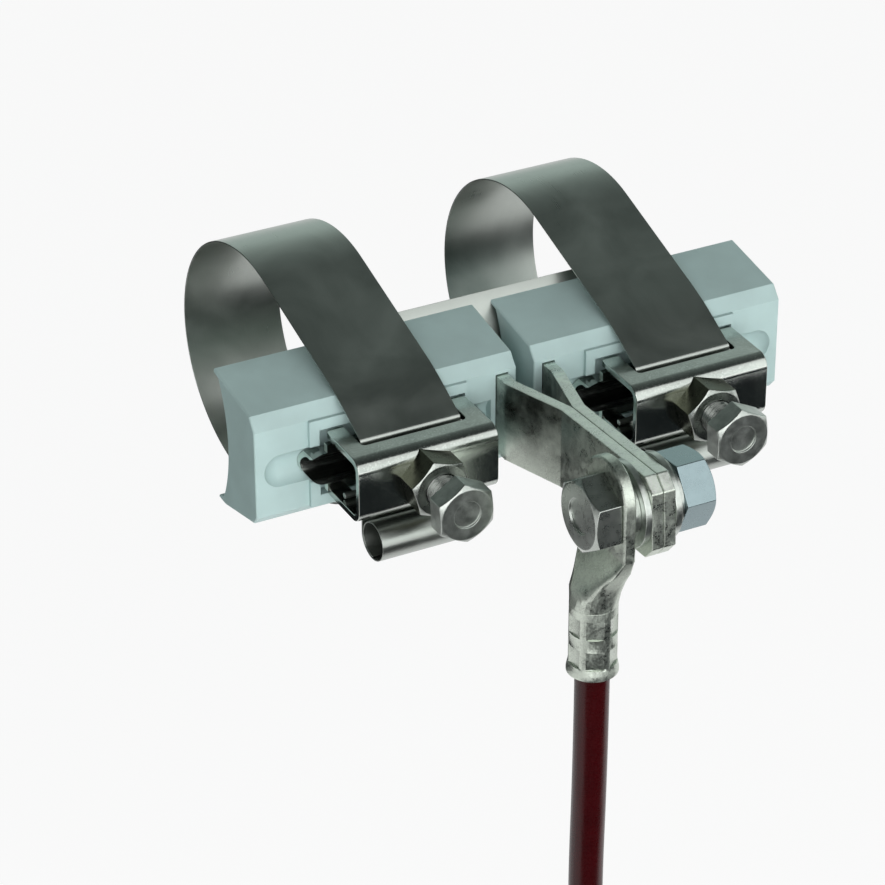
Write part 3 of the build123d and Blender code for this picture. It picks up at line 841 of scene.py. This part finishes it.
class CLAMP_OT_heads(bpy.types.Operator):
    """Add the folded strap heads, their weld nuts and the pressure plates"""

    bl_idname = "clamp.heads"
    bl_label = "Strap heads"

    def execute(self, context):
        sizes = context.scene.clamp_sizes
        colours = context.scene.clamp_colours
        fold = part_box("strap_head_left")[1].z - FOLD_RADIUS - sizes.fold_ease
        sheet = head_stainless("head_stainless", colours.stainless, fold)
        # Painted shade: the pressure plates take a darker copy of the head's stainless.
        plate = head_stainless("plate_painted_shade_stainless", shade(colours.stainless, 0.55), fold)
        # Painted highlight: the plates' ends, facing along X, get a lighter copy of the stainless.
        painted_highlight = plain_stainless("plate_ends_painted_highlight", shade(colours.stainless, 1.5))
        steel = turned_steel("weld_nut_steel", shade(colours.steel, 0.8), 0.3)
        painted_shade_sides = turned_steel("weld_nut_painted_shade_sides", colours.weld, 0.3)
        for side in SIDES:
            head = welded_copy("strap_head_" + side)
            eased_folds(head, sizes.fold_ease)
            soften(head, sizes.sheet_edge)
            place_on(head, "strap_head_" + side, sheet)
            node = "pressure_plate_" + side
            pressed = dressed(node, sizes.sheet_edge, plate, "head_stainless", careful=True)
            second_finish(pressed, painted_highlight, lambda centre, normal: abs(normal.x) > FACING)
            nut = welded_copy("weld_nut_" + side)
            rear = piece_box(nut)[1].y
            for vertex in nut.data.vertices:
                if vertex.co.y > rear - TOUCH:
                    vertex.co.y += sizes.weld_depth
            soften(nut, sizes.fastener_edge, angle=20.0)
            place_on(nut, "weld_nut_" + side, steel)
            # Painted shade on the nut's side facets, those that face across the screw's axis.
            second_finish(nut, painted_shade_sides, lambda centre, normal: abs(normal.y) < SIDEWAYS)
        return {"FINISHED"}


class CLAMP_OT_clamp_screws(bpy.types.Operator):
    """Add the two clamp screws with their threads and dished heads"""

    bl_idname = "clamp.clamp_screws"
    bl_label = "Clamp screws"

    def execute(self, context):
        sizes = context.scene.clamp_sizes
        colour = context.scene.clamp_colours.steel
        steel = turned_steel("clamp_screw_steel", colour, 0.36)
        # Painted shade: the thread's flanks take a darker copy of the screw's steel.
        painted_shade_flanks = turned_steel("clamp_thread_painted_shade", shade(colour, 0.35), 0.3)
        crest, pitch = sizes.clamp_radius, sizes.clamp_pitch
        for side in SIDES:
            node = "clamp_screw_" + side
            low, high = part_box(node)
            axis = Vector((middle(node, 0), 0.0, 0.0))
            screw = welded_copy(node)
            dish_head(screw, 1, sizes.clamp_rim, sizes.clamp_dish)
            slimmed_shank(screw, 1, axis, crest, sizes.clamp_root)
            soften(screw, sizes.fastener_edge, angle=20.0)
            place_on(screw, node, steel)
            turns = int((high.y - low.y - SCREW_HEAD) / pitch) - 1
            start = (axis.x, high.y - (turns + 0.5) * pitch, 0.0)
            ridge = thread_ridge(node + "_thread", start, "Y", crest, pitch, turns)
            bright_crest(ridge, painted_shade_flanks, steel, axis, 1, crest)
            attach(ridge, "screw_" + side)
        return {"FINISHED"}


class CLAMP_OT_contact_bars(bpy.types.Operator):
    """Add the two bent contact bars"""

    bl_idname = "clamp.contact_bars"
    bl_label = "Contact bars"

    def execute(self, context):
        width = context.scene.clamp_sizes.bar_edge
        tin = context.scene.clamp_colours.tin
        # The bars' skin carries the painted dark reflection beside the saddles.
        skin = tinned("tinned_bar", tin, 210.0, dark_reflection=0.85)
        # Painted highlight: the bars' upward faces get a lighter copy of the tin.
        painted_highlight = tinned("tinned_bar_painted_highlight_top", shade(tin, 1.4), 210.0)
        for side in SIDES:
            bar = dressed("contact_bar_" + side, width, skin, "tinned_bar", angle=30.0)
            second_finish(bar, painted_highlight, lambda centre, normal: normal.z > FACING)
        return {"FINISHED"}


class CLAMP_OT_terminal(bpy.types.Operator):
    """Add the earth terminal: bolt, nut, flat washers and lock washers"""

    bl_idname = "clamp.terminal"
    bl_label = "Earth terminal"

    def execute(self, context):
        sizes = context.scene.clamp_sizes
        colours = context.scene.clamp_colours
        steel = turned_steel("terminal_bolt_steel", colours.steel, 0.3, 0.35)
        # Painted shade: the thread's flanks take a darker copy of the bolt's steel.
        painted_shade_flanks = turned_steel("terminal_thread_painted_shade", shade(colours.steel, 0.5), 0.3)
        zinc = turned_steel("terminal_nut_zinc", colours.zinc, 0.3, 0.35)
        plain = turned_steel("washer_steel", shade(colours.steel, 1.15), 0.32)
        crest, pitch = sizes.terminal_radius, sizes.terminal_pitch
        axis = Vector((0, middle("flat_washer_left", 1), middle("flat_washer_left", 2)))
        bolt = welded_copy("terminal_bolt")
        dish_head(bolt, 0, sizes.terminal_rim, sizes.terminal_dish)
        slimmed_shank(bolt, 0, axis, crest, sizes.terminal_root)
        soften(bolt, sizes.fastener_edge, angle=20.0)
        place_on(bolt, "terminal_bolt", steel)
        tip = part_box("terminal_bolt")[1].x - TERMINAL_TIP
        start = (tip - (TERMINAL_TURNS + 0.5) * pitch, axis.y, axis.z)
        ridge = thread_ridge("terminal_bolt_thread", start, "X", crest, pitch, TERMINAL_TURNS)
        bright_crest(ridge, painted_shade_flanks, steel, axis, 0, crest)
        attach(ridge, "base")
        dressed("terminal_nut", sizes.fastener_edge, zinc, "bolt_steel", angle=20.0)
        for side in SIDES:
            dressed("flat_washer_" + side, sizes.fastener_edge, plain, "washer_steel")
            dressed("lock_washer_" + side, sizes.fastener_edge, plain, "washer_steel")
        return {"FINISHED"}


class CLAMP_OT_lead(bpy.types.Operator):
    """Add the cable lugs, the conductor ends and the lead's insulation"""

    bl_idname = "clamp.lead"
    bl_label = "Bonding lead"

    def execute(self, context):
        sizes = context.scene.clamp_sizes
        colours = context.scene.clamp_colours
        tin = tinned("tinned_lug", colours.tin, 330.0)
        copper = bare_copper(colours.copper)
        for node, away in (("cable_lug", -1), ("far_lug", 1)):
            lug = welded_copy(node)
            turned_crimps(lug, away, sizes.crimp_turn)
            soften(lug, sizes.lug_edge, angle=30.0, careful=True)
            sharpened(lug, away)
            place_on(lug, node, tin)
        for node in ("conductor", "far_conductor"):
            dressed(node, sizes.strap_edge, copper, "copper")
        route = LEAD_ROUTE
        curve = bpy.data.curves.new("lead_insulation", "CURVE")
        curve.dimensions = "3D"
        spline = curve.splines.new("NURBS")
        spline.points.add(len(route) - 1)
        for point, place in zip(spline.points, route):
            point.co = (*place, 1.0)
        spline.order_u = 3
        spline.use_endpoint_u = True
        spline.resolution_u = 16
        curve.bevel_depth = LEAD_RADIUS
        curve.bevel_resolution = 8
        curve.use_fill_caps = True
        cord = bpy.data.objects.new("lead_insulation", curve)
        context.scene.collection.objects.link(cord)
        curve.materials.append(lead_insulation(colours.insulation))
        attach(cord, "lug")
        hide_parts("lead")
        return {"FINISHED"}


def camera_matrix(azimuth, elevation, roll, distance, target):
    """World matrix of a camera that looks at a target; angles in degrees."""
    across, rise, tilt = radians(azimuth), radians(elevation), radians(roll)
    back = Vector((sin(across) * cos(rise), -cos(across) * cos(rise), sin(rise)))
    level = Vector((cos(across), sin(across), 0.0))
    upright = back.cross(level)
    right = cos(tilt) * level + sin(tilt) * upright
    up = cos(tilt) * upright - sin(tilt) * level
    turned = Matrix((right, up, back)).transposed().to_4x4()
    return Matrix.Translation(target + distance * back) @ turned


def photo_camera():
    """Camera that stands where the object was photographed from."""
    camera = bpy.data.cameras.new("photo_camera")
    camera.lens = LENS
    camera.sensor_width = SENSOR_WIDTH
    camera.clip_start, camera.clip_end = CAMERA_CLIPS
    holder = bpy.data.objects.new("photo_camera", camera)
    angles = (CAMERA_AZIMUTH, CAMERA_ELEVATION, CAMERA_ROLL)
    holder.matrix_world = camera_matrix(*angles, CAMERA_DISTANCE, Vector(CAMERA_TARGET))
    bpy.context.scene.collection.objects.link(holder)
    return holder


def soft_light(name, place, breadth, power):
    """Rectangular soft light at a place, turned towards the object."""
    lamp = bpy.data.lights.new(name, "AREA")
    lamp.shape = "RECTANGLE"
    lamp.size, lamp.size_y = breadth
    lamp.energy = power
    holder = bpy.data.objects.new(name, lamp)
    holder.location = place
    away = Vector(place) - Vector(LIGHTS_AIM)
    holder.rotation_euler = away.to_track_quat("Z", "Y").to_euler()
    bpy.context.scene.collection.objects.link(holder)


def level_plane(name, place, breadth, material):
    """Level rectangle of the stage."""
    bpy.ops.object.select_all(action="DESELECT")
    bpy.ops.mesh.primitive_plane_add(size=1.0, location=place)
    plane = bpy.context.object
    plane.name = name
    plane.scale = (*breadth, 1.0)
    bpy.ops.object.transform_apply(location=True, rotation=False, scale=True)
    plane.data.materials.append(material)
    return plane


class CLAMP_OT_stage(bpy.types.Operator):
    """Add the pale floor, the reflection cards, the soft lights and the camera"""

    bl_idname = "clamp.stage"
    bl_label = "Stage"

    def execute(self, context):
        scene = context.scene
        floor = (0.0, 0.0, FLOOR_HEIGHT)
        level_plane("studio_floor", floor, (FLOOR_SIZE, FLOOR_SIZE), painted_floor())
        scene.world = studio_world()
        cloth = dark_card()
        for name, place, breadth in CARDS:
            card = level_plane(name, place, breadth, cloth)
            card.visible_camera = False
            card.visible_diffuse = False
            card.visible_shadow = False
        for name, place, breadth, power in LIGHTS:
            soft_light(name, place, breadth, power)
        scene.camera = photo_camera()
        scene.view_settings.view_transform = "Standard"
        return {"FINISHED"}


class CLAMP_PT_panel(bpy.types.Panel):
    """Lists the clamp's sizes, colours and pieces in the 3D view's sidebar"""

    bl_label = "Pipe grounding clamp"
    bl_idname = "CLAMP_PT_panel"
    bl_space_type = "VIEW_3D"
    bl_region_type = "UI"
    bl_category = "Clamp"

    def draw(self, context):
        for group in (context.scene.clamp_sizes, context.scene.clamp_colours):
            for name in group.bl_rna.properties.keys():
                if name not in ("rna_type", "name"):
                    self.layout.prop(group, name)
        for operator in OPERATORS:
            self.layout.operator(operator.bl_idname)


OPERATORS = (
    CLAMP_OT_saddles,
    CLAMP_OT_straps,
    CLAMP_OT_heads,
    CLAMP_OT_clamp_screws,
    CLAMP_OT_contact_bars,
    CLAMP_OT_terminal,
    CLAMP_OT_lead,
    CLAMP_OT_stage,
)
CLASSES = (ClampSizes, ClampColours, *OPERATORS, CLAMP_PT_panel)


def register():
    """Registers the classes, and the sizes and colours as properties of the scene."""
    for made in CLASSES:
        bpy.utils.register_class(made)
    bpy.types.Scene.clamp_sizes = bpy.props.PointerProperty(type=ClampSizes)
    bpy.types.Scene.clamp_colours = bpy.props.PointerProperty(type=ClampColours)


def unregister():
    """Takes back what register adds."""
    del bpy.types.Scene.clamp_sizes
    del bpy.types.Scene.clamp_colours
    for made in reversed(CLASSES):
        bpy.utils.unregister_class(made)


def main():
    """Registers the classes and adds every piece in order."""
    register()
    bpy.ops.clamp.stage()
    bpy.ops.clamp.lead()
    bpy.ops.clamp.saddles()
    bpy.ops.clamp.straps()
    bpy.ops.clamp.heads()
    bpy.ops.clamp.clamp_screws()
    bpy.ops.clamp.contact_bars()
    bpy.ops.clamp.terminal()


if __name__ == "__main__":
    main()
